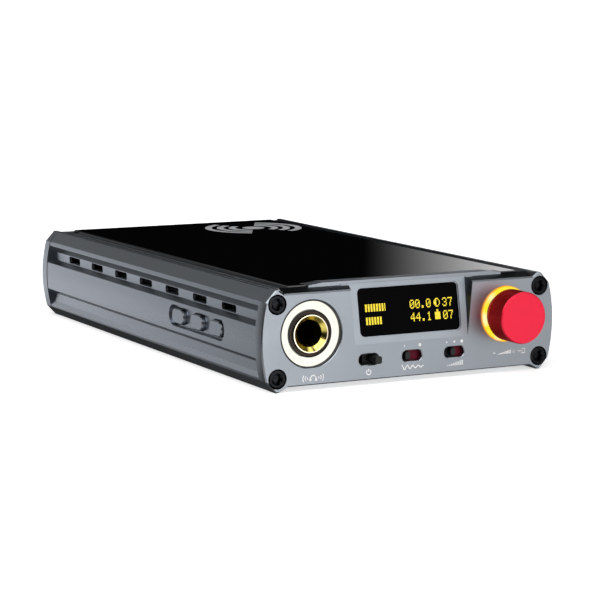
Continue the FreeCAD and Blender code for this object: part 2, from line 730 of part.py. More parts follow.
def jack_trim_ring():
    """Thin black edging round the light ring."""
    return tube(JACK_X, JACK_Z, TRIM_IN_R, TRIM_OUT_R, TRIM_FRONT, LIGHT_RING_FRONT)


def contact_strips():
    """Three spring strips beside the plug's path, in slots of the housing."""
    x0 = JACK_X + JACK_BORE_R + CONTACT_GAP
    half = CONTACT_WIDTH / 2
    return [box(x0, x0 + CONTACT_THICK, d, d + CONTACT_LENGTH, JACK_Z - half, JACK_Z + half)
            for d in CONTACT_DEPTHS]


def jack_housing():
    """Plastic body behind the plate, bored for the bushing and the plug."""
    start = PLATE_THICK + SLOT_PLAY
    body = box(JACK_X - HOUSING_HALF, JACK_X + HOUSING_HALF, start, HOUSING_END,
               BOARD_TOP, 2 * JACK_Z - BOARD_TOP)
    body = body.cut(rod(JACK_X, JACK_Z, JACK_SLEEVE_R, start, JACK_SLEEVE_END))
    body = body.cut(rod(JACK_X, JACK_Z, JACK_BORE_R, JACK_SLEEVE_END, HOUSING_BORE_END))
    for slot in contact_strips():
        body = body.cut(slot)
    return body


# ---- display ----
def display_window():
    return tilted_plate(LENS_WIDTH, LENS_HEIGHT, WINDOW_CORNER, LENS_SINK, LENS_SINK + LENS_THICK)


def oled_module():
    start = LENS_SINK + LENS_THICK
    return tilted_plate(LENS_WIDTH - OLED_MARGIN, LENS_HEIGHT - OLED_MARGIN, WINDOW_CORNER,
                        start, start + OLED_THICK)


# ---- slide switches ----
def switch_shell(spec):
    """Folded metal shell with a window at the front."""
    x = spec["x"]
    h = SHELL_HALF_HEIGHT
    w = SHELL_WALL
    shell = box(x - SHELL_HALF, x + SHELL_HALF, SHELL_START, SHELL_END, SLOT_Z - h, SLOT_Z + h)
    room = box(x - SHELL_HALF + w, x + SHELL_HALF - w, SHELL_START + w, SHELL_END - w,
               SLOT_Z - h + w, SLOT_Z + h - w)
    window_half = SLOT_HEIGHT / 2 - SHELL_WALL
    window = box(x - SHELL_WINDOW_HALF, x + SHELL_WINDOW_HALF, SHELL_START, SHELL_START + w,
                 SLOT_Z - window_half, SLOT_Z + window_half)
    return shell.cut(room).cut(window)


def switch_slider(spec):
    """Plastic slider with the nub that the finger moves."""
    x = spec["x"] + spec["rest"]
    h = SLIDER_HALF_HEIGHT
    block = box(x - SLIDER_HALF, x + SLIDER_HALF, SLIDER_START, SLIDER_END, SLOT_Z - h, SLOT_Z + h)
    nub = rounded_bar(x, SLOT_Z, spec["nub"], NUB_HEIGHT, NUB_ROUND, -spec["stand"], SLIDER_START)
    return block.fuse(nub).removeSplitter()


# ---- knob and encoder ----
def volume_knob():
    """Finely toothed cap with a plain front rim, hollow behind to clear the nut."""
    front = -KNOB_STAND
    cap = rod(KNOB_X, KNOB_Z, KNOB_R, front, front + KNOB_CAP)
    cap = cap.makeChamfer(KNOB_BEVEL, [e for e in edges_at(cap, REARWARD, FRONT_Y + front) if e.Closed])
    outline = []
    for k in range(2 * KNOB_TEETH):
        radius = KNOB_R - KNOB_TOOTH_DEPTH * (k % 2)
        turn = math.pi * k / KNOB_TEETH
        outline.append((KNOB_X + radius * math.cos(turn), KNOB_Z + radius * math.sin(turn)))
    knob = cap.fuse(prism(outline, front + KNOB_CAP, KNOB_BACK))
    knob = knob.cut(rod(KNOB_X, KNOB_Z, KNOB_HOLLOW_R, KNOB_HUB_END, KNOB_BACK))
    knob = knob.cut(tube(KNOB_X, KNOB_Z, KNOB_HUB_R, KNOB_HOLLOW_R, KNOB_HOLLOW_FRONT, KNOB_HUB_END))
    return knob.cut(rod(KNOB_X, KNOB_Z, SHAFT_R, SHAFT_FRONT, KNOB_HUB_END))


def encoder_shaft():
    return rod(KNOB_X, KNOB_Z, SHAFT_R, SHAFT_FRONT, SHAFT_END)


def encoder_bushing():
    return tube(KNOB_X, KNOB_Z, SHAFT_R + SHAFT_PLAY, BUSHING_R, BUSHING_FRONT, ENCODER_START)


def encoder_nut():
    nut = hexagon(KNOB_X, KNOB_Z, NUT_FLATS, NUT_FRONT, 0)
    return nut.cut(rod(KNOB_X, KNOB_Z, BUSHING_R, NUT_FRONT, 0))


def encoder_body():
    h = ENCODER_HALF
    body = box(KNOB_X - h, KNOB_X + h, ENCODER_START, ENCODER_END, KNOB_Z - h, KNOB_Z + h)
    body = body.cut(rod(KNOB_X, KNOB_Z, ENCODER_ROOM_R, ENCODER_START, ENCODER_ROOM_END))
    return body.cut(rod(KNOB_X, KNOB_Z, PIN_ROOM_R, ENCODER_ROOM_END, PIN_ROOM_END))


def encoder_push_pin():
    """The pin that the shaft pushes onto the switch inside the encoder."""
    head = rod(KNOB_X, KNOB_Z, PIN_HEAD_R, PIN_HEAD_START, PIN_HEAD_END)
    return head.fuse(rod(KNOB_X, KNOB_Z, PIN_STEM_R, PIN_HEAD_END, PIN_STEM_END)).removeSplitter()


def knob_light_ring():
    return tube(KNOB_X, KNOB_Z, KNOB_LIGHT_IN_R, KNOB_LIGHT_OUT_R, KNOB_LIGHT_FRONT, KNOB_LIGHT_BACK)


# ---- side buttons ----
def side_button(depth):
    """A key proud of its tray, kept in by a flange behind the wall."""
    outer = -(TRAY_FLOOR_X + BUTTON_STAND)
    key = stadium_x(depth, BUTTON_Z, BUTTON_LENGTH, BUTTON_HEIGHT, outer, -RELIEF_X)
    key = key.makeChamfer(BUTTON_EDGE, edges_at(key, ACROSS, outer))
    flange_outer = -RELIEF_X + SLOT_PLAY
    flange = stadium_x(depth, BUTTON_Z, BUTTON_LENGTH + 2 * BUTTON_FLANGE,
                       BUTTON_HEIGHT + 2 * BUTTON_FLANGE, flange_outer, flange_outer + BUTTON_FLANGE_THICK)
    neck = stadium_x(depth, BUTTON_Z, BUTTON_LENGTH, BUTTON_HEIGHT, -RELIEF_X, flange_outer)
    pad_start = flange_outer + BUTTON_FLANGE_THICK
    pad = Part.makeCylinder(BUTTON_PAD_R, -BUTTON_PAD_X - pad_start, at(pad_start, depth, BUTTON_Z), ACROSS)
    return key.multiFuse([neck, flange, pad]).removeSplitter()


def tact_switch(depth):
    h = TACT_HALF
    body = box(-TACT_BODY_X, -TACT_BOARD_X, depth - h, depth + h, BUTTON_Z - h, BUTTON_Z + h)
    stem = Part.makeCylinder(TACT_STEM_R, TACT_FACE_X - TACT_BODY_X,
                             at(-TACT_FACE_X, depth, BUTTON_Z), ACROSS)
    return body.fuse(stem).removeSplitter()


def button_board():
    return box(-TACT_BOARD_X, -TACT_BOARD_X + TACT_BOARD_THICK, TACT_BOARD_START, TACT_BOARD_END,
               TACT_BOARD_BOTTOM, TACT_BOARD_TOP)


# ---- boards and electronics ----
def main_board():
    return box(-BOARD_HALF, BOARD_HALF, BOARD_START, BOARD_END, BOARD_Z, BOARD_TOP)


def front_board():
    return box(FRONT_BOARD_LEFT, FRONT_BOARD_RIGHT, FRONT_BOARD_START,
               FRONT_BOARD_START + FRONT_BOARD_THICK, BOARD_TOP, FRONT_BOARD_TOP)


def shield_can():
    """Thin metal lid over the processor, open at the bottom."""
    can = block_on_board(CAN_CENTRE, CAN_SIZE, CAN_SIZE, CAN_HEIGHT)
    inner = CAN_SIZE - 2 * CAN_WALL
    return can.cut(block_on_board(CAN_CENTRE, inner, inner, CAN_HEIGHT - CAN_WALL))


def capacitor(x):
    """An upright electrolytic capacitor with a scored top."""
    can = Part.makeCylinder(CAPACITOR_R, CAPACITOR_HEIGHT, at(x, CAPACITOR_DEPTH, BOARD_TOP), UP)
    top = BOARD_TOP + CAPACITOR_HEIGHT
    half = CAPACITOR_VENT_DEPTH
    score = box(x - CAPACITOR_R, x + CAPACITOR_R, CAPACITOR_DEPTH - half, CAPACITOR_DEPTH + half,
                top - CAPACITOR_VENT_DEPTH, top)
    return can.cut(score)


def battery_cell(k):
    z0 = CELL_BOTTOM + k * CELL_PITCH
    cell = box(-CELL_HALF, CELL_HALF, CELL_START, CELL_END, z0, z0 + CELL_THICK)
    return cell.makeFillet(CELL_ROUND, edges_along(cell, REARWARD))


def battery_tape():
    """Foam tape between the upper cell and the roof."""
    z0 = CELL_BOTTOM + (CELL_COUNT - 1) * CELL_PITCH + CELL_THICK
    return box(-TAPE_HALF, TAPE_HALF, CELL_START + TAPE_INSET, CELL_END - TAPE_INSET, z0, CAVITY_TOP)


def battery_lead(x):
    """One wire: a quarter turn from the cell's front down to the connector."""
    turn = Part.makeTorus(LEAD_BEND, LEAD_R, at(x, CELL_START, LEAD_TOP_Z - LEAD_BEND), ACROSS, 0, 360, 360)
    keep = box(x - LEAD_BEND, x + LEAD_BEND, CELL_START - 2 * LEAD_BEND, CELL_START,
               LEAD_TOP_Z - LEAD_BEND, LEAD_TOP_Z + LEAD_BEND)
    return turn.common(keep)


def battery_connector():
    x_half = CONNECTOR_HALF
    depth = CELL_START - LEAD_BEND
    return box(-x_half, x_half, depth - CONNECTOR_DEPTH_HALF, depth + CONNECTOR_DEPTH_HALF,
               BOARD_TOP, LEAD_TOP_Z - LEAD_BEND)


# ---- rear sockets ----
def usb_shell(x):
    """Rounded metal tube of a reversible USB socket."""
    start = SOCKET_END - USB_LENGTH
    outer = rounded_bar(x, USB_Z, USB_WIDTH, USB_HEIGHT, USB_HEIGHT / 2 - NEARLY, start, SOCKET_END)
    inner_height = USB_HEIGHT - 2 * USB_WALL
    return outer.cut(rounded_bar(x, USB_Z, USB_WIDTH - 2 * USB_WALL, inner_height,
                                 inner_height / 2 - NEARLY, start, SOCKET_END))


def usb_tongue(x):
    """Plastic base and contact tongue inside the shell."""
    start = SOCKET_END - USB_LENGTH
    height = USB_HEIGHT - 2 * USB_WALL
    base = rounded_bar(x, USB_Z, USB_WIDTH - 2 * USB_WALL, height, height / 2 - NEARLY,
                       start, start + USB_BASE_LENGTH)
    half = USB_TONGUE_THICK / 2
    tongue = box(x - USB_TONGUE_WIDTH / 2, x + USB_TONGUE_WIDTH / 2, start + USB_BASE_LENGTH,
                 SOCKET_END - USB_TONGUE_SINK, USB_Z - half, USB_Z + half)
    return base.fuse(tongue).removeSplitter()


def mini_barrel(x):
    return tube(x, MINI_Z, MINI_BORE_R, MINI_BARREL_R, SOCKET_END - MINI_LENGTH, SOCKET_END)


def mini_housing(x):
    h = MINI_HOUSING_HALF
    body = box(x - h, x + h, MINI_HOUSING_START, MINI_HOUSING_END, BOARD_TOP, MINI_Z + h)
    return body.cut(rod(x, MINI_Z, MINI_BARREL_R, SOCKET_END - MINI_LENGTH, MINI_HOUSING_END))


# ---- nodes ----
def main():
    save("chassis", chassis())
    save("top_panel", top_panel())
    save("front_plate", front_plate())
    save("rear_plate", rear_plate())
    save("front_screws", [screw(x, z) for x, z in screw_places()])
    save("rear_screws", rear_screws())
    save("jack_sleeve", jack_sleeve())
    save("jack_collar", jack_collar())
    save("jack_light_ring", jack_light_ring())
    save("jack_trim_ring", jack_trim_ring())
    save("jack_housing", jack_housing())
    save("jack_contacts", contact_strips())
    save("display_window", display_window())
    save("oled_module", oled_module())
    for name, spec in SWITCHES.items():
        save(name + "_switch_shell", switch_shell(spec))
        save(name + "_slider", switch_slider(spec))
    save("volume_knob", volume_knob())
    save("encoder_shaft", encoder_shaft())
    save("encoder_bushing", encoder_bushing())
    save("encoder_nut", encoder_nut())
    save("encoder_body", encoder_body())
    save("encoder_push_pin", encoder_push_pin())
    save("knob_light_ring", knob_light_ring())
    for name, depth in zip(BUTTON_NAMES, button_depths()):
        save("side_button_" + name, side_button(depth))
    save("tact_switches", [tact_switch(depth) for depth in button_depths()])
    save("button_board", button_board())
    save("main_board", main_board())
    save("front_board", front_board())
    save("shield_can", shield_can())
    save("processor_chip", block_on_board(CAN_CENTRE, PROCESSOR_SIZE, PROCESSOR_SIZE, PROCESSOR_THICK))
    save("dac_chips", [block_on_board(c, DAC_CHIP_SIZE, DAC_CHIP_SIZE, DAC_CHIP_THICK)
                       for c in DAC_CHIP_CENTRES])
    save("op_amps", [block_on_board((x, OP_AMP_DEPTH), *OP_AMP_SIZE, OP_AMP_THICK) for x in OP_AMP_X])
    save("capacitors", [capacitor(x) for x in CAPACITOR_X])
    save("inductors", [block_on_board(c, INDUCTOR_SIZE, INDUCTOR_SIZE, INDUCTOR_HEIGHT)
                       for c in INDUCTOR_CENTRES])
    save("clock_crystals", [block_on_board(c, *CRYSTAL_SIZE, CRYSTAL_HEIGHT) for c in CRYSTAL_CENTRES])
    save("battery_cells", [battery_cell(k) for k in range(CELL_COUNT)])
    save("battery_tape", battery_tape())
    save("battery_leads", [battery_lead(x) for x in LEAD_X])
    save("battery_connector", battery_connector())
    for name, x in USB_X.items():
        save("usb_" + name + "_shell", usb_shell(x))
        save("usb_" + name + "_tongue", usb_tongue(x))
    for name, x in MINI_X.items():
        save(name + "_barrel", mini_barrel(x))
        save(name + "_housing", mini_housing(x))


main()
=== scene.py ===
import bpy
import json
import math
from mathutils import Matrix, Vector


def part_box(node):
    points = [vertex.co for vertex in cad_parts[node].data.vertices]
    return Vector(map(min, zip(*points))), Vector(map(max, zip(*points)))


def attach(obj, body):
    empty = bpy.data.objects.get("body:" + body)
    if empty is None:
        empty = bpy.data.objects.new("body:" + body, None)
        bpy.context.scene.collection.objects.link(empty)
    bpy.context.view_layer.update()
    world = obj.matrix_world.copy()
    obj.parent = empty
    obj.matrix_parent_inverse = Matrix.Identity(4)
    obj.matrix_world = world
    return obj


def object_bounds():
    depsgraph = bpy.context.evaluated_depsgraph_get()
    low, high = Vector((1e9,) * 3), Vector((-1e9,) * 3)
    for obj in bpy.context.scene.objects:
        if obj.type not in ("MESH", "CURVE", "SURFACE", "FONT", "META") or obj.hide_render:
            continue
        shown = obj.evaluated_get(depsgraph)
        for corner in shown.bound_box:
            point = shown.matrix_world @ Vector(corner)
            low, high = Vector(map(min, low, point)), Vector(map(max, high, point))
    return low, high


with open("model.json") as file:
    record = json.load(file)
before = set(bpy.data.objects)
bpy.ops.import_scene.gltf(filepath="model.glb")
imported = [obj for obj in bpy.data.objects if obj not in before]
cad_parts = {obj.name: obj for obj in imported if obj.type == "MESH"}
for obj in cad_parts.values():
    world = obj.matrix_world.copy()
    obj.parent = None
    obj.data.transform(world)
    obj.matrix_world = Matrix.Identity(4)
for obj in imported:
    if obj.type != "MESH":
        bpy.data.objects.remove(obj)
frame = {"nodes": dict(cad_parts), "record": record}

# Finishes, printed marks, display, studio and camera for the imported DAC.
# Metres. +X is to the right seen from the front, +Y points to the rear, +Z up.

CAD_LOW, CAD_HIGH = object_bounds()
NODES = frame["nodes"]
MM = 0.001
RIGHT = Vector((1, 0, 0))
FORWARD = Vector((0, -1, 0))
REARWARD = Vector((0, 1, 0))
UP = Vector((0, 0, 1))

# ---- camera values: yaw is towards +X, lens and sensor are in millimetres ----
CAMERA_PLACE = Vector((-257.25, -505.1, 92.13)) * MM
CAMERA_YAW = math.radians(27.39)
CAMERA_PITCH = math.radians(-8.145)
CAMERA_LENS = 129.77
CAMERA_SENSOR = 36.0
CLIP_NEAR = 0.01
CLIP_FAR = 50.0

# ---- values of the printed marks: heights above the surface the part stands on ----
PRINT_THICK = 0.02 * MM
LEGEND_LINE = 0.27 * MM
JACK_MARK_SHIFT = 0.4 * MM
HEADPHONE_Z = 2.75 * MM
HEADPHONE_RADIUS = 0.75 * MM
WAVES_Z = 2.9 * MM
WAVES_START = 0.9 * MM
WAVES_SHIFT = 0.1 * MM
WAVES_PITCH = 0.5 * MM
WAVES_HALF_ANGLE = 32
WAVES_LINE = 0.8 * LEGEND_LINE
POWER_Z = 3.05 * MM
POWER_RADIUS = 0.6 * MM
SYMBOL_HEIGHT = 1.2 * MM
DAMPING_Z = 3.4 * MM
DAMPING_SHIFT = 0.2 * MM
DAMPING_LENGTH = 6.0 * MM
GAIN_Z = 2.8 * MM
GAIN_SHIFT = 0.4 * MM
GAIN_LENGTH = 4.6 * MM
GAIN_BARS = 8
DOT_Z = 8.6 * MM
DOT_SPACING = 2.1 * MM
DOT_SMALL = 0.17 * MM
DOT_MEDIUM = 0.27 * MM
DOT_LARGE = 0.40 * MM
VOLUME_Z = 4.4 * MM
VOLUME_SHIFT = 1.2 * MM

GLASS_MARK_X = 16.5 * MM
GLASS_MARK_Y = 52.5 * MM
GLASS_DOT_RADIUS = 3.2 * MM
GLASS_RINGS = (6.2 * MM, 9.6 * MM, 13.0 * MM)
GLASS_RING_WIDTH = 1.9 * MM
GLASS_RING_SPAN = 124

# ---- values of the display: places from the middle of its window ----
PIXEL_THICK = 0.02 * MM
PIXEL_WIDTH = 0.25 * MM
PIXEL_HEIGHT = 0.30 * MM
PIXEL_FILL = 0.86
UPPER_ROW = 2.15 * MM
LOWER_ROW = -0.95 * MM
LEVELS_LEFT = -11.7 * MM
UPPER_LEVEL = 22
LOWER_LEVEL = 17
NUMBER_LEFT = 0.5 * MM
CIRCLE_LEFT = 7.1 * MM
BATTERY_LEFT = 7.2 * MM
BATTERY_RAISED = 0.4 * MM
COUNT_LEFT = 9.5 * MM
DIGIT_ROWS = 7
DIGIT_PITCH = 6

# ---- values of the painted red light on two sliders, thin red sheets beside the nubs: start is from the slider's middle, depth from the face ----
RED_LIGHT_START = 0.7 * MM
RED_LIGHT_LENGTH = 2.9 * MM
RED_LIGHT_DEPTH = 1.68 * MM
RED_LIGHT_THICK = 0.05 * MM
RED_LIGHT_HALF_HEIGHT = 1.28 * MM

# ---- values of the studio ----
FLOOR_RINGS = (0.02, 0.1, 0.4, 1.2, 2.5)
FLOOR_SIDES = 96
WALL_CURVE = 1.5
WALL_STEPS = 12
WALL_TOP = 4.0
GLOW_START = 0.12
GLOW_END = 0.4
GLOW_NEAR = 0.6
GLOW_FAR = 1.0

# Light panels in the surroundings, in degrees: compass angle from the rear towards +X, height angle,
# half width, half height and edge softness. The last number is the brightness.
PANELS = (
    (46.0, 6.5, 13.5, 10.5, 3.5, 1.85),         # rear right
    (150.0, 8.0, 24.0, 18.0, 12.0, 1.28),       # front right
    (-10.0, -6.0, 14.0, 10.0, 8.0, 1.5),        # rear, low
    (-20.0, 13.0, 13.0, 6.0, 5.0, 0.8),         # rear, strip above that
    (-17.0, 28.0, 11.0, 4.0, 4.0, 0.45),        # rear, second strip
    (107.0, 62.0, 28.0, 9.0, 7.0, 2.0),         # high right
    (-72.0, 10.0, 12.0, 30.0, 10.0, 0.6),       # left
    (180.0, 80.0, 200.0, 10.0, 8.0, 0.8),       # ceiling
    (180.0, -58.0, 200.0, 30.0, 6.0, 0.1),      # floor
    (92.0, -30.0, 52.0, 20.0, 9.0, 0.8),        # low right
    (-140.0, -34.0, 36.0, 20.0, 9.0, 0.8),      # low front left
)
AMBIENT = 0.0015

# Area lights: name, place, target, width and height, power in watts.
LIGHTS = (
    ("front", (0.03, -0.44, 0.0), (-0.03, -0.07, 0.012), (0.26, 0.3), 0.39),
    ("key", (-0.57, -0.57, 0.92), (0, 0, 0), (1.2, 1.2), 10.5),
)


# ---- mesh helpers ----
class Shape:
    """Vertices and faces of one piece, in metres."""

    def __init__(self):
        self.points = []
        self.faces = []

    def add(self, points, faces):
        start = len(self.points)
        self.points += [tuple(p) for p in points]
        self.faces += [tuple(start + i for i in face) for face in faces]

    def prism(self, base, depth):
        """A closed straight solid on the outline base; depth is the vector to its other end."""
        n = len(base)
        far = [p + depth for p in base]
        sides = [(i, (i + 1) % n, n + (i + 1) % n, n + i) for i in range(n)]
        self.add(base + far, [tuple(reversed(range(n))), tuple(range(n, 2 * n))] + sides)

    def piece(self, name, look, body, slot):
        mesh = bpy.data.meshes.new(name)
        mesh.from_pydata(self.points, [], self.faces)
        mesh.validate()
        mesh.materials.append(look)
        thing = bpy.data.objects.new(name, mesh)
        bpy.context.scene.collection.objects.link(thing)
        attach(thing, body)
        return thing


class Print:
    """Thin flat marks on a face, drawn in the face's own right and up directions."""

    def __init__(self, origin, right, up, out, thick):
        self.origin, self.right, self.up = origin, right, up
        self.depth = out * thick
        self.shape = Shape()

    def at(self, u, v):
        return self.origin + self.right * u + self.up * v

    def polygon(self, outline):
        self.shape.prism([self.at(u, v) for u, v in outline], self.depth)

    def bar(self, u0, u1, v0, v1):
        self.polygon([(u0, v0), (u1, v0), (u1, v1), (u0, v1)])

    def disc(self, u, v, radius, sides=24):
        self.polygon([(u + radius * math.cos(a), v + radius * math.sin(a)) for a in turns(sides)])

    def stroke(self, points, width):
        """A line of even width through the points: one flat bar for each step."""
        left, right = [], []
        for i, (u, v) in enumerate(points):
            before = points[max(i - 1, 0)]
            after = points[min(i + 1, len(points) - 1)]
            du, dv = after[0] - before[0], after[1] - before[1]
            size = math.hypot(du, dv)
            across, along = -dv / size * width / 2, du / size * width / 2
            left.append((u + across, v + along))
            right.append((u - across, v - along))
        for i in range(len(points) - 1):
            self.polygon([right[i], right[i + 1], left[i + 1], left[i]])

    def arc(self, u, v, radius, start, end, width, steps=20):
        """Part of a ring, angles in degrees anticlockwise from the right."""
        angles = [math.radians(start + (end - start) * k / steps) for k in range(steps + 1)]
        self.stroke([(u + radius * math.cos(a), v + radius * math.sin(a)) for a in angles], width)


def turns(sides):
    return [2 * math.pi * k / sides for k in range(sides)]


def middle(node):
    low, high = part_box(node)
    return (low + high) / 2


# ---- material helpers ----
class Look:
    """A material: a Principled shader, and procedural nodes that feed it."""

    def __init__(self, name, colour, metallic, roughness, **fixed):
        self.material = bpy.data.materials.new(name)
        self.material.use_nodes = True
        self.tree = self.material.node_tree
        self.shader = self.tree.nodes["Principled BSDF"]
        self.colour = colour
        self.set("Base Color", (*colour, 1))
        self.set("Metallic", metallic)
        self.set("Roughness", roughness)
        for key, value in fixed.items():
            self.set(key.replace("_", " ").title().replace("Ior", "IOR"), value)
        self.place = self.node("ShaderNodeTexCoord").outputs["Object"]

    def set(self, name, value):
        self.shader.inputs[name].default_value = value

    def node(self, kind, **settings):
        made = self.tree.nodes.new(kind)
        for key, value in settings.items():
            setattr(made, key, value)
        return made

    def join(self, source, target):
        self.tree.links.new(source, target)

    def feed(self, name, source):
        self.join(source, self.shader.inputs[name])

    def noise(self, size, detail=3.0, stretch=(1, 1, 1)):
        """Noise whose features are about this many millimetres across."""
        made = self.node("ShaderNodeTexNoise")
        self.join(self.vector("MULTIPLY", stretch), made.inputs["Vector"])
        made.inputs["Scale"].default_value = 1 / (size * MM)
        made.inputs["Detail"].default_value = detail
        return made.outputs["Fac"]

    def spread(self, factor, low, high, start=0.3, end=0.7):
        """Maps a factor from start..end to low..high."""
        made = self.node("ShaderNodeMapRange")
        self.join(factor, made.inputs["Value"])
        for name, value in (("From Min", start), ("From Max", end), ("To Min", low), ("To Max", high)):
            made.inputs[name].default_value = value
        return made.outputs["Result"]

    def band(self, factor, rise_start, rise_end, fall_start, fall_end):
        """1 between two soft edges of a factor, and 0 outside them."""
        rise = self.spread(factor, 0, 1, rise_start, rise_end)
        fall = self.spread(factor, 1, 0, fall_start, fall_end)
        return self.maths("MULTIPLY", rise, fall)

    def mix(self, factor, colour_a, colour_b):
        """Colour a where the factor is 0, colour b where it is 1."""
        made = self.node("ShaderNodeMix", data_type="RGBA")
        self.join(factor, made.inputs[0])
        for slot, colour in ((6, colour_a), (7, colour_b)):
            if isinstance(colour, bpy.types.NodeSocket):
                self.join(colour, made.inputs[slot])
            else:
                made.inputs[slot].default_value = (*colour, 1)
        return made.outputs[2]

    def maths(self, operation, first, *others):
        """Adds, multiplies and so on, in turn."""
        for other in others:
            made = self.node("ShaderNodeMath", operation=operation)
            self.join(first, made.inputs[0])
            self.join(other, made.inputs[1])
            first = made.outputs[0]
        return first

    def mottle(self, size, amount):
        """Colour that varies a little about the base colour."""
        dark = tuple(c * (1 - amount) for c in self.colour)
        light = tuple(min(1, c * (1 + amount)) for c in self.colour)
        colour = self.mix(self.spread(self.noise(size), 0, 1), dark, light)
        self.feed("Base Color", colour)
        return colour

    def rough(self, size, low, high, stretch=(1, 1, 1)):
        self.feed("Roughness", self.spread(self.noise(size, 5.0, stretch), low, high))

    def bump(self, *layers):
        """Fine relief: each layer is a height factor and its depth in millimetres."""
        normal = None
        for factor, depth in layers:
            made = self.node("ShaderNodeBump")
            made.inputs["Distance"].default_value = depth * MM
            self.join(factor, made.inputs["Height"])
            if normal:
                self.join(normal, made.inputs["Normal"])
            normal = made.outputs["Normal"]
        self.feed("Normal", normal)

    def vector(self, operation, value, source=None):
        """The object coordinates, or another vector, changed by a fixed vector."""
        made = self.node("ShaderNodeVectorMath", operation=operation)
        self.join(source or self.place, made.inputs[0])
        made.inputs[1].default_value = value
        return made.outputs["Value" if operation in ("LENGTH", "DOT_PRODUCT") else "Vector"]

    def from_axis(self, centre):
        """Distance in metres from the line through the centre along Y."""
        flat = self.vector("MULTIPLY", (1, 0, 1), self.vector("SUBTRACT", centre))
        return self.vector("LENGTH", (0, 0, 0), flat)

    def facing(self, direction):
        """How squarely the surface faces this way or its opposite, 0 to 1."""
        normal = self.node("ShaderNodeTexCoord").outputs["Normal"]
        made = self.node("ShaderNodeMath", operation="ABSOLUTE")
        self.join(self.vector("DOT_PRODUCT", direction, normal), made.inputs[0])
        return made.outputs[0]

    def rings(self, pitch, centre):
        """Turned rings round a line along Y, as a height factor."""
        made = self.node("ShaderNodeTexWave", wave_type="RINGS", rings_direction="Y")
        self.join(self.vector("SUBTRACT", centre), made.inputs["Vector"])
        made.inputs["Scale"].default_value = 1 / (pitch * MM) / 20
        made.inputs["Distortion"].default_value = 0.3
        return made.outputs["Fac"]


# ---- values of the finishes ----
# How squarely a face points along an axis, from 0 to 1, where the aluminium changes.
SQUARE_ON = (0.8, 0.95)
STEEP_WALLS = (0.86, 0.90, 0.972, 0.985)
FLAT_TOPS = (0.985, 0.995)
# Places along the body: from the front face, and from the front of the rear plate, forward positive.
RIM_EDGES = (-3.3 * MM, -0.8 * MM)
SEAM_EDGES = (-1.5 * MM, -1.0 * MM, 0.1 * MM, 0.3 * MM)
# Distances from the jack's axis.
NUT_RADII = (4.7 * MM, 4.9 * MM, 5.15 * MM, 5.35 * MM)
SLEEVE_RIM = (4.2 * MM, 4.3 * MM)
# Distances from the outer edge of the knob's light ring.
LIGHT_RIM = (-0.35 * MM, 0.05 * MM)


# ---- materials ----
def grey_anodised():
    """Aluminium: drawn smooth along the sides, duller on ends and tops, with painted light giving the
    sides a bluer, lighter tone, and painted shade darkening the grooves' steep walls and rear ends and
    the front plate's side rim.
    """
    look = Look("grey_anodised", (0.315, 0.342, 0.375), 1.0, 0.3)
    sides = look.spread(look.facing(RIGHT), 0, 1, *SQUARE_ON)
    ends = look.spread(look.facing(REARWARD), 0, 1, *SQUARE_ON)
    upward = look.facing(UP)
    # Painted light: faces towards ±X take a bluer, lighter grey than the other faces.
    plain = look.mix(sides, look.mottle(40.0, 0.02), (0.325, 0.362, 0.420))
    shaded = shaded_parts(look, sides, ends, upward)
    # Painted shade: these parts take a dark grey in place of the aluminium's colour.
    look.feed("Base Color", look.mix(shaded, plain, (0.13, 0.146, 0.165)))
    drawn = look.spread(look.noise(6.0, 5.0, (1, 0.04, 1)), 0.26, 0.32)
    dull_ends = look.spread(ends, 0, 0.1, 0, 1)
    dull_tops = look.spread(upward, 0, 0.22, *FLAT_TOPS)
    look.feed("Roughness", look.maths("ADD", drawn, dull_ends, dull_tops))
    look.bump((look.noise(0.12, 4.0), 0.002), (look.noise(0.5, 2.0, (1, 0.03, 1)), 0.002))
    return look.material


def shaded_parts(look, sides, ends, upward):
    """Where painted shade goes: 1 on the grooves' steep walls, the front plate's side rim and the
    grooves' rear ends.
    """
    forward = look.vector("DOT_PRODUCT", FORWARD)
    face = -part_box("front_plate")[0].y
    seam = -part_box("rear_plate")[0].y
    walls = look.band(upward, *STEEP_WALLS)
    near_face = look.spread(forward, 0, 1, *(face + edge for edge in RIM_EDGES))
    near_seam = look.band(forward, *(seam + edge for edge in SEAM_EDGES))
    rim = look.maths("MULTIPLY", near_face, sides)
    groove_ends = look.maths("MULTIPLY", near_seam, ends)
    return look.maths("MAXIMUM", walls, rim, groove_ends)


def black_glass():
    look = Look("black_glass", (0.0015, 0.0015, 0.002), 0.0, 0.03, ior=1.52)
    look.rough(14.0, 0.02, 0.05)
    look.bump((look.noise(30.0, 2.0), 0.002))
    return look.material


def black_steel():
    """Blackened steel, with a dark brown on the jack's ring nut: the nut's gold darkened by painted
    shade.
    """
    look = Look("black_steel", (0.014, 0.015, 0.017), 1.0, 0.24)
    radius = look.from_axis(middle("jack_collar"))
    nut_painted_shade = look.band(radius, *NUT_RADII)
    # Painted shade: the band on the ring nut takes a dark brown, gold as it looks in shade.
    look.feed("Base Color", look.mix(nut_painted_shade, look.mottle(0.8, 0.35), (0.045, 0.032, 0.022)))
    look.rough(0.6, 0.18, 0.28)
    look.bump((look.noise(0.12), 0.003))
    return look.material


def gold():
    """Gold plating, with a painted highlight that makes the rim paler."""
    look = Look("gold", (0.84, 0.68, 0.16), 1.0, 0.16)
    centre = middle("jack_sleeve")
    rim = look.spread(look.from_axis(centre), 0, 1, *SLEEVE_RIM)
    # Painted highlight: a pale cream on the sleeve's front rim.
    look.feed("Base Color", look.mix(rim, look.mottle(1.5, 0.08), (0.98, 0.86, 0.66)))
    look.rough(0.7, 0.12, 0.24)
    look.bump((look.rings(0.12, centre), 0.004))
    return look.material


def contact_metal():
    look = Look("contact_metal", (0.60, 0.60, 0.58), 1.0, 0.3)
    look.mottle(1.2, 0.08)
    look.rough(0.8, 0.22, 0.4, (1, 0.2, 1))
    look.bump((look.noise(0.15, 3.0, (1, 0.1, 1)), 0.003))
    return look.material


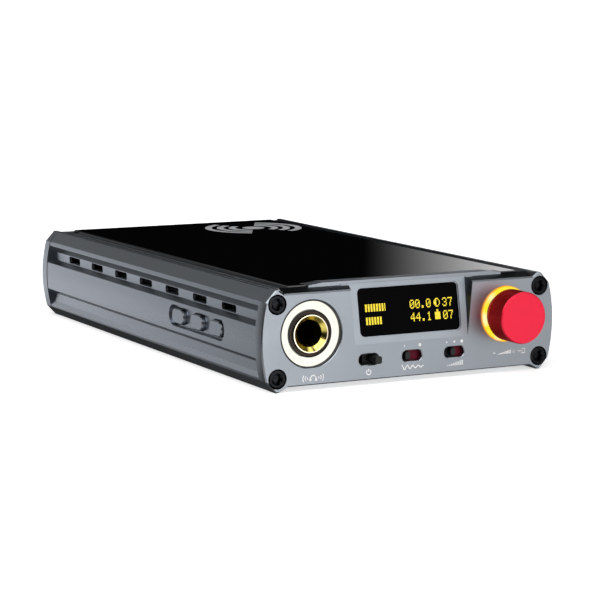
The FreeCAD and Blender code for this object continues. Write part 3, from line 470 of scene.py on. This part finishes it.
def white_light_guide():
    """Frosted ring lit from behind, a little warmer in places."""
    look = Look("white_light_guide", (0.10, 0.10, 0.09), 0.0, 0.45)
    lit = look.mix(look.spread(look.noise(6.0, 2.0), 0, 1), (1.0, 0.975, 0.84), (1.0, 0.985, 0.90))
    look.feed("Emission Color", lit)
    look.set("Emission Strength", 0.95)
    look.bump((look.noise(0.2), 0.004))
    return look.material


def amber_light_guide():
    """Frosted ring: yellow with paler spots over its lamps, orange at its outer edge."""
    look = Look("amber_light_guide", (0.15, 0.09, 0.01), 0.0, 0.45)
    radius = look.from_axis(middle("knob_light_ring"))
    low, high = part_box("knob_light_ring")
    outer = (high.x - low.x) / 2
    spots = look.spread(look.noise(5.0, 1.0), 0, 1, 0.52, 0.68)
    lit = look.mix(spots, (1.0, 0.80, 0.03), (1.0, 0.93, 0.45))
    rim = look.spread(radius, 0, 1, *(outer + edge for edge in LIGHT_RIM))
    look.feed("Emission Color", look.mix(rim, lit, (0.75, 0.20, 0.0)))
    look.set("Emission Strength", 1.0)
    look.bump((look.noise(0.2), 0.004))
    return look.material


def red_anodised():
    """Bright satin on the flat cap; more metallic on the toothed side, whose darker red is painted shade.
    """
    look = Look("red_anodised", (0.99, 0.010, 0.052), 0.2, 0.36)
    cap = look.spread(look.facing(REARWARD), 0, 1, 0.5, 0.75)
    # Painted shade: the toothed side takes a darker red, standing in for the light its teeth trap.
    look.feed("Base Color", look.mix(cap, (0.60, 0.002, 0.005), look.mottle(3.0, 0.03)))
    look.feed("Metallic", look.spread(cap, 0.9, 0.4, 0, 1))
    look.rough(1.5, 0.30, 0.42)
    look.bump((look.noise(0.1, 4.0), 0.004))
    return look.material


def plastic(name, colour, size=0.25, depth=0.01, shine=0.5):
    """A dull moulded or wrapped surface; size and depth are those of its grain in millimetres."""
    look = Look(name, colour, 0.0, 0.5, specular_ior_level=shine)
    look.mottle(2.0, 0.15)
    look.rough(1.0, 0.42, 0.6)
    look.bump((look.noise(size, 4.0), depth))
    return look.material


def display_glass():
    look = Look("display_glass", (0.001, 0.001, 0.0012), 0.0, 0.08, specular_ior_level=0.02)
    look.rough(5.0, 0.06, 0.12)
    look.bump((look.noise(8.0, 2.0), 0.001))
    return look.material


def circuit_board():
    """Green solder mask over a fine grid of tracks."""
    look = Look("circuit_board", (0.012, 0.07, 0.035), 0.0, 0.35)
    brick = look.node("ShaderNodeTexBrick")
    look.join(look.place, brick.inputs["Vector"])
    brick.inputs["Scale"].default_value = 900
    brick.inputs["Mortar Size"].default_value = 0.06
    brick.inputs["Color1"].default_value = (*look.colour, 1)
    brick.inputs["Color2"].default_value = (0.016, 0.085, 0.045, 1)
    brick.inputs["Mortar"].default_value = (0.04, 0.16, 0.08, 1)
    look.feed("Base Color", brick.outputs["Color"])
    look.rough(2.0, 0.28, 0.42)
    look.bump((brick.outputs["Fac"], 0.01))
    return look.material


def ink(name, colour):
    """Screen print, a little uneven."""
    look = Look(name, colour, 0.0, 0.5)
    look.mottle(0.4, 0.08)
    look.bump((look.noise(0.1), 0.004))
    return look.material


def lit_pixels():
    look = Look("lit_pixels", (0.3, 0.25, 0.02), 0.0, 0.4)
    lit = look.mix(look.spread(look.noise(0.35, 1.0), 0, 1), (1.0, 0.68, 0.01), (1.0, 0.86, 0.04))
    look.feed("Emission Color", lit)
    look.set("Emission Strength", 1.0)
    return look.material


def make_looks():
    """The finish of each material slot, by the slot's name."""
    looks = {"grey_anodised": grey_anodised(), "black_glass": black_glass(), "black_steel": black_steel(),
             "gold": gold(), "contact_metal": contact_metal(), "red_anodised": red_anodised(),
             "display_glass": display_glass(), "circuit_board": circuit_board(),
             "white_light_guide": white_light_guide(), "amber_light_guide": amber_light_guide(),
             "lit_pixels": lit_pixels(), "white_ink": ink("white_ink", (0.93, 0.94, 0.95)),
             "silver_ink": ink("silver_ink", (0.55, 0.56, 0.57))}
    looks["black_plastic"] = plastic("black_plastic", (0.010, 0.010, 0.011), shine=0.35)
    looks["capacitor_can"] = plastic("capacitor_can", (0.16, 0.13, 0.05), 1.0, 0.02)
    looks["battery_foil"] = plastic("battery_foil", (0.45, 0.46, 0.48), 2.0, 0.05)
    looks["foam_tape"] = plastic("foam_tape", (0.03, 0.03, 0.03), 0.3, 0.05)
    # The same dark red colours the red sheets in the damping and gain slots: painted light standing in
    # for red light beside the nubs.
    looks["wire_jacket"] = plastic("wire_jacket", (0.13, 0.003, 0.016), shine=0.15)
    looks["connector_plastic"] = plastic("connector_plastic", (0.75, 0.72, 0.62))
    return looks


def dress_nodes(looks):
    """Gives every CAD node the finish that its record names."""
    slots = {part["node"]: part["material_slot"] for part in frame["record"]["subparts"]}
    for name, node in NODES.items():
        node.data.materials.clear()
        node.data.materials.append(looks[slots[name]])


# ---- printed marks ----
def face_print(node, out, thick):
    """A Print on the big flat face of a node that faces this way."""
    mesh = NODES[node].data
    faces = [p for p in mesh.polygons if p.normal.dot(out) > 0.9]
    normal = sum((p.normal * p.area for p in faces), Vector()).normalized()
    area = sum(p.area for p in faces)
    centre = sum((p.center * p.area for p in faces), Vector()) / area
    return Print(centre, RIGHT, normal.cross(RIGHT).normalized(), normal, thick)


def headphone(marks, u, v, radius, width):
    """A headband over two cups."""
    marks.arc(u, v, radius, 0, 180, width)
    for side in (-1, 1):
        cup = u + side * radius
        marks.bar(cup - width, cup + width, v - 0.75 * radius, v)


def sound_waves(marks, u, v):
    """Three arcs spreading to each side."""
    for side in (-1, 1):
        middle_angle = 90 - side * 90
        for k in (1, 2, 3):
            marks.arc(u + side * (WAVES_START + k * WAVES_SHIFT), v, k * WAVES_PITCH,
                      middle_angle - WAVES_HALF_ANGLE, middle_angle + WAVES_HALF_ANGLE, WAVES_LINE, 8)


def power_symbol(marks, u, v, radius, width):
    """A ring open at its top, with a bar in the opening."""
    marks.arc(u, v, radius, -235, 55, width)
    marks.bar(u - width / 2, u + width / 2, v + 0.1 * radius, v + 1.35 * radius)


def damped_wave(marks, u, v, length, height, width):
    """Four periods of a wave that dies down to a fifth of its height."""
    steps = 48
    points = []
    for k in range(steps + 1):
        t = k / steps
        swing = height / 2 * (1 - 0.8 * t) * math.cos(8 * math.pi * t)
        points.append((u + length * (t - 0.5), v + swing))
    marks.stroke(points, width)


def rising_bars(marks, u, v, length, height, count):
    pitch = length / count
    for k in range(count):
        left = u - length / 2 + k * pitch
        marks.bar(left, left + 0.55 * pitch, v, v + height * (k + 1) / count)


def volume_wedge(marks, u, v, line):
    """A growing wedge between a minus and a plus, with an arrow into an open frame beside it."""
    marks.bar(u - 4.6 * MM, u - 3.9 * MM, v + 0.38 * MM, v + 0.64 * MM)
    low, high = v + 0.1 * MM, v + 1.1 * MM
    marks.polygon([(u - 3.5 * MM, low), (u + 0.6 * MM, low), (u + 0.6 * MM, high)])
    marks.bar(u + 1.0 * MM, u + 1.8 * MM, v + 0.38 * MM, v + 0.64 * MM)
    marks.bar(u + 1.27 * MM, u + 1.53 * MM, v + 0.12 * MM, v + 0.92 * MM)
    left, right = u + 3.6 * MM, u + 4.6 * MM
    marks.stroke([(left, v), (right, v), (right, high), (left, high)], line)
    marks.bar(u + 2.6 * MM, u + 3.7 * MM, v + 0.42 * MM, v + 0.68 * MM)
    tail = u + 3.5 * MM
    marks.polygon([(tail, v + 0.2 * MM), (u + 4.1 * MM, v + 0.55 * MM), (tail, v + 0.9 * MM)])


def front_legend(look):
    """Generic white symbols and position dots on the front face."""
    face = Print(Vector((0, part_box("front_plate")[0].y, 0)), RIGHT, UP, FORWARD, PRINT_THICK)
    jack = middle("jack_sleeve").x + JACK_MARK_SHIFT
    damping = middle("damping_switch_shell").x
    gain = middle("gain_switch_shell").x
    headphone(face, jack, HEADPHONE_Z, HEADPHONE_RADIUS, LEGEND_LINE)
    sound_waves(face, jack, WAVES_Z)
    power_symbol(face, middle("power_switch_shell").x, POWER_Z, POWER_RADIUS, LEGEND_LINE)
    damped_wave(face, damping + DAMPING_SHIFT, DAMPING_Z, DAMPING_LENGTH, SYMBOL_HEIGHT, LEGEND_LINE)
    rising_bars(face, gain + GAIN_SHIFT, GAIN_Z, GAIN_LENGTH, SYMBOL_HEIGHT, GAIN_BARS)
    face.disc(damping - DOT_SPACING, DOT_Z, DOT_SMALL)
    face.disc(damping + DOT_SPACING, DOT_Z, DOT_LARGE)
    for place, radius in ((-1, DOT_SMALL), (0, DOT_MEDIUM), (1, DOT_LARGE)):
        face.disc(gain + place * DOT_SPACING, DOT_Z, radius)
    volume_wedge(face, middle("volume_knob").x + VOLUME_SHIFT, VOLUME_Z, LEGEND_LINE)
    return face.shape.piece("front_legend", look, "body", "white_ink")


def glass_graphic(look):
    """Generic silver rings like spreading sound, open to the front and rear, on the glass."""
    centre = Vector((GLASS_MARK_X, GLASS_MARK_Y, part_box("top_panel")[1].z))
    glass = Print(centre, RIGHT, REARWARD, UP, PRINT_THICK)
    glass.disc(0, 0, GLASS_DOT_RADIUS, 48)
    for radius in GLASS_RINGS:
        for side in (0, 180):
            start = side - GLASS_RING_SPAN / 2
            glass.arc(0, 0, radius, start, start + GLASS_RING_SPAN, GLASS_RING_WIDTH, 40)
    return glass.shape.piece("glass_graphic", look, "body", "silver_ink")


def slot_red_light(switch, look):
    """Thin red sheet on a slider, seen through its slot beside the nub: painted light standing in for red
    light in the slot.
    """
    slider = middle(switch + "_slider")
    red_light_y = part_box("front_plate")[0].y + RED_LIGHT_DEPTH
    red_light_sheet = Print(Vector((slider.x + RED_LIGHT_START, red_light_y, slider.z)), RIGHT, UP, FORWARD, RED_LIGHT_THICK)
    red_light_sheet.bar(0, RED_LIGHT_LENGTH, -RED_LIGHT_HALF_HEIGHT, RED_LIGHT_HALF_HEIGHT)
    return red_light_sheet.shape.piece(switch + "_painted_red_light", look, switch + "_switch", "wire_jacket")


# ---- the display ----
# A plain dot font, five dots wide and seven high: each word is one row, from the top.
DIGITS = {
    "0": ".###. #...# #..## #.#.# ##..# #...# .###.",
    "1": "..#.. .##.. ..#.. ..#.. ..#.. ..#.. .###.",
    "3": ".###. #...# ....# ..##. ....# #...# .###.",
    "4": "...#. ..##. .#.#. #..#. ##### ...#. ...#.",
    "7": "##### ....# ...#. ...#. ..#.. ..#.. ..#..",
    ".": "..... ..... ..... ..... ..... .##.. .##..",
}


def pixel(screen, u, v, column, row):
    """One lit dot; rows count down from v."""
    left = u + column * PIXEL_WIDTH
    top = v - row * PIXEL_HEIGHT
    screen.bar(left, left + PIXEL_WIDTH * PIXEL_FILL, top - PIXEL_HEIGHT * PIXEL_FILL, top)


def write_number(screen, number, u, v):
    for place, digit in enumerate(number):
        for row, line in enumerate(DIGITS[digit].split()):
            for column, dot in enumerate(line):
                if dot == "#":
                    pixel(screen, u, v, column + DIGIT_PITCH * place, row)


def fill_pixels(screen, u, v, columns, rows, inside):
    """Lights the dots of a block for which inside(column, row) is true."""
    for row in range(rows):
        for column in range(columns):
            if inside(column, row):
                pixel(screen, u, v, column, row)


def level_bars(column, row):
    """Bars two dots wide and one apart, a dot lower than the digits."""
    return column % 3 < 2 and row > 0


def battery(column, row):
    """A filled cell with a cap two dots wide."""
    return row > 1 or 2 <= column <= 3


def half_circle(column, row):
    """A ring seven dots across whose left half is filled."""
    across, down = column - 3, row - 3
    distance = math.hypot(across, down)
    return distance < 3.6 and (across < 0 or distance > 2.5)


def display_content(look):
    """Level bars, numbers, a half-filled circle and a battery, as lit dots on the display."""
    screen = face_print("display_window", FORWARD, PIXEL_THICK)
    fill_pixels(screen, LEVELS_LEFT, UPPER_ROW, UPPER_LEVEL, DIGIT_ROWS, level_bars)
    fill_pixels(screen, LEVELS_LEFT, LOWER_ROW, LOWER_LEVEL, DIGIT_ROWS, level_bars)
    write_number(screen, "00.0", NUMBER_LEFT, UPPER_ROW)
    write_number(screen, "44.1", NUMBER_LEFT, LOWER_ROW)
    fill_pixels(screen, CIRCLE_LEFT, UPPER_ROW, DIGIT_ROWS, DIGIT_ROWS, half_circle)
    fill_pixels(screen, BATTERY_LEFT, LOWER_ROW + BATTERY_RAISED, 6, 8, battery)
    write_number(screen, "37", COUNT_LEFT, UPPER_ROW)
    write_number(screen, "07", COUNT_LEFT, LOWER_ROW)
    return screen.shape.piece("display_content", look, "body", "lit_pixels")


# ---- studio ----
def sweep_profile():
    """Radius and height of each ring of the floor and of the wall that it curves up into."""
    rings = [(radius, 0.0) for radius in FLOOR_RINGS]
    for k in range(1, WALL_STEPS + 1):
        angle = math.pi / 2 * k / WALL_STEPS
        rings.append((FLOOR_RINGS[-1] + WALL_CURVE * math.sin(angle), WALL_CURVE * (1 - math.cos(angle))))
    rings.append((FLOOR_RINGS[-1] + WALL_CURVE, WALL_TOP))
    return rings


def sweep_paper():
    """White paper that glows a little, more with distance."""
    look = Look("sweep_paper", (0.86, 0.86, 0.86), 0.0, 0.9)
    look.mottle(300.0, 0.01)
    look.set("Emission Color", (1, 1, 1, 1))
    away = look.vector("LENGTH", (0, 0, 0))
    look.feed("Emission Strength", look.spread(away, GLOW_NEAR, GLOW_FAR, GLOW_START, GLOW_END))
    look.set("Specular IOR Level", 0.0)
    return look.material


def studio_sweep():
    """A white floor whose far edge turns up into a wall all round; it shows, but lights nothing."""
    rings = sweep_profile()
    points = []
    for radius, level in rings:
        for a in turns(FLOOR_SIDES):
            points.append((radius * math.cos(a), radius * math.sin(a), CAD_LOW.z + level))
    faces = [tuple(range(FLOOR_SIDES))]
    for start in range(0, (len(rings) - 1) * FLOOR_SIDES, FLOOR_SIDES):
        for i in range(FLOOR_SIDES):
            j = (i + 1) % FLOOR_SIDES
            outer = start + FLOOR_SIDES
            faces.append((start + i, outer + i, outer + j, start + j))
    mesh = bpy.data.meshes.new("studio_sweep")
    mesh.from_pydata(points, [], faces)
    mesh.materials.append(sweep_paper())
    for face in mesh.polygons:
        face.use_smooth = True
    sweep = bpy.data.objects.new("studio_sweep", mesh)
    bpy.context.scene.collection.objects.link(sweep)
    sweep.visible_diffuse = False
    sweep.visible_glossy = False
    sweep.visible_shadow = False


def soft_light(name, place, target, size, power):
    """A rectangular area light at a place, aimed at a target."""
    data = bpy.data.lights.new(name, "AREA")
    data.shape = "RECTANGLE"
    data.size, data.size_y = size
    data.energy = power
    light = bpy.data.objects.new(name, data)
    light.location = place
    light.rotation_mode = "QUATERNION"
    light.rotation_quaternion = (Vector(target) - Vector(place)).to_track_quat("-Z", "Y")
    bpy.context.scene.collection.objects.link(light)


def surroundings():
    """The world: almost dark, with soft panels of light at fixed compass directions."""
    world = bpy.data.worlds.new("studio")
    bpy.context.scene.world = world
    world.use_nodes = True
    tree = world.node_tree
    background = tree.nodes["Background"]

    def math_node(operation, *values):
        made = tree.nodes.new("ShaderNodeMath")
        made.operation = operation
        for socket, value in zip(made.inputs, values):
            if isinstance(value, bpy.types.NodeSocket):
                tree.links.new(value, socket)
            else:
                socket.default_value = value
        return made.outputs[0]

    def window(angle, centre, half, soft):
        """1 within half of the centre angle, falling softly to 0."""
        turned = math_node("WRAP", math_node("SUBTRACT", angle, centre), -math.pi, math.pi)
        edge = tree.nodes.new("ShaderNodeMapRange")
        edge.interpolation_type = "SMOOTHSTEP"
        tree.links.new(math_node("ABSOLUTE", turned), edge.inputs["Value"])
        edge.inputs["From Min"].default_value = half + soft
        edge.inputs["From Max"].default_value = half - soft
        edge.inputs["To Min"].default_value = 0.0
        edge.inputs["To Max"].default_value = 1.0
        return edge.outputs["Result"]

    direction = tree.nodes.new("ShaderNodeSeparateXYZ")
    tree.links.new(tree.nodes.new("ShaderNodeTexCoord").outputs["Generated"], direction.inputs[0])
    x, y, z = direction.outputs
    compass = math_node("ARCTAN2", x, y)
    height = math_node("ARCSINE", z)
    total = AMBIENT
    for *degrees, brightness in PANELS:
        angle, level, half_angle, half_level, soft = (math.radians(a) for a in degrees)
        across = window(compass, angle, half_angle, soft)
        upward = window(height, level, half_level, soft)
        total = math_node("MULTIPLY_ADD", math_node("MULTIPLY", across, upward), brightness, total)
    tree.links.new(total, background.inputs["Strength"])
    background.inputs["Color"].default_value = (1, 1, 1, 1)


def camera():
    data = bpy.data.cameras.new("camera")
    data.lens = CAMERA_LENS
    data.sensor_width = CAMERA_SENSOR
    data.clip_start = CLIP_NEAR
    data.clip_end = CLIP_FAR
    thing = bpy.data.objects.new("camera", data)
    thing.location = CAMERA_PLACE
    thing.rotation_euler = (math.pi / 2 + CAMERA_PITCH, 0, -CAMERA_YAW)
    bpy.context.scene.collection.objects.link(thing)
    bpy.context.scene.camera = thing


def main():
    looks = make_looks()
    dress_nodes(looks)
    front_legend(looks["white_ink"])
    glass_graphic(looks["silver_ink"])
    display_content(looks["lit_pixels"])
    for switch in ("damping", "gain"):
        slot_red_light(switch, looks["wire_jacket"])
    studio_sweep()
    surroundings()
    for light in LIGHTS:
        soft_light(*light)
    camera()
    bpy.context.scene.view_settings.view_transform = "Standard"


main()
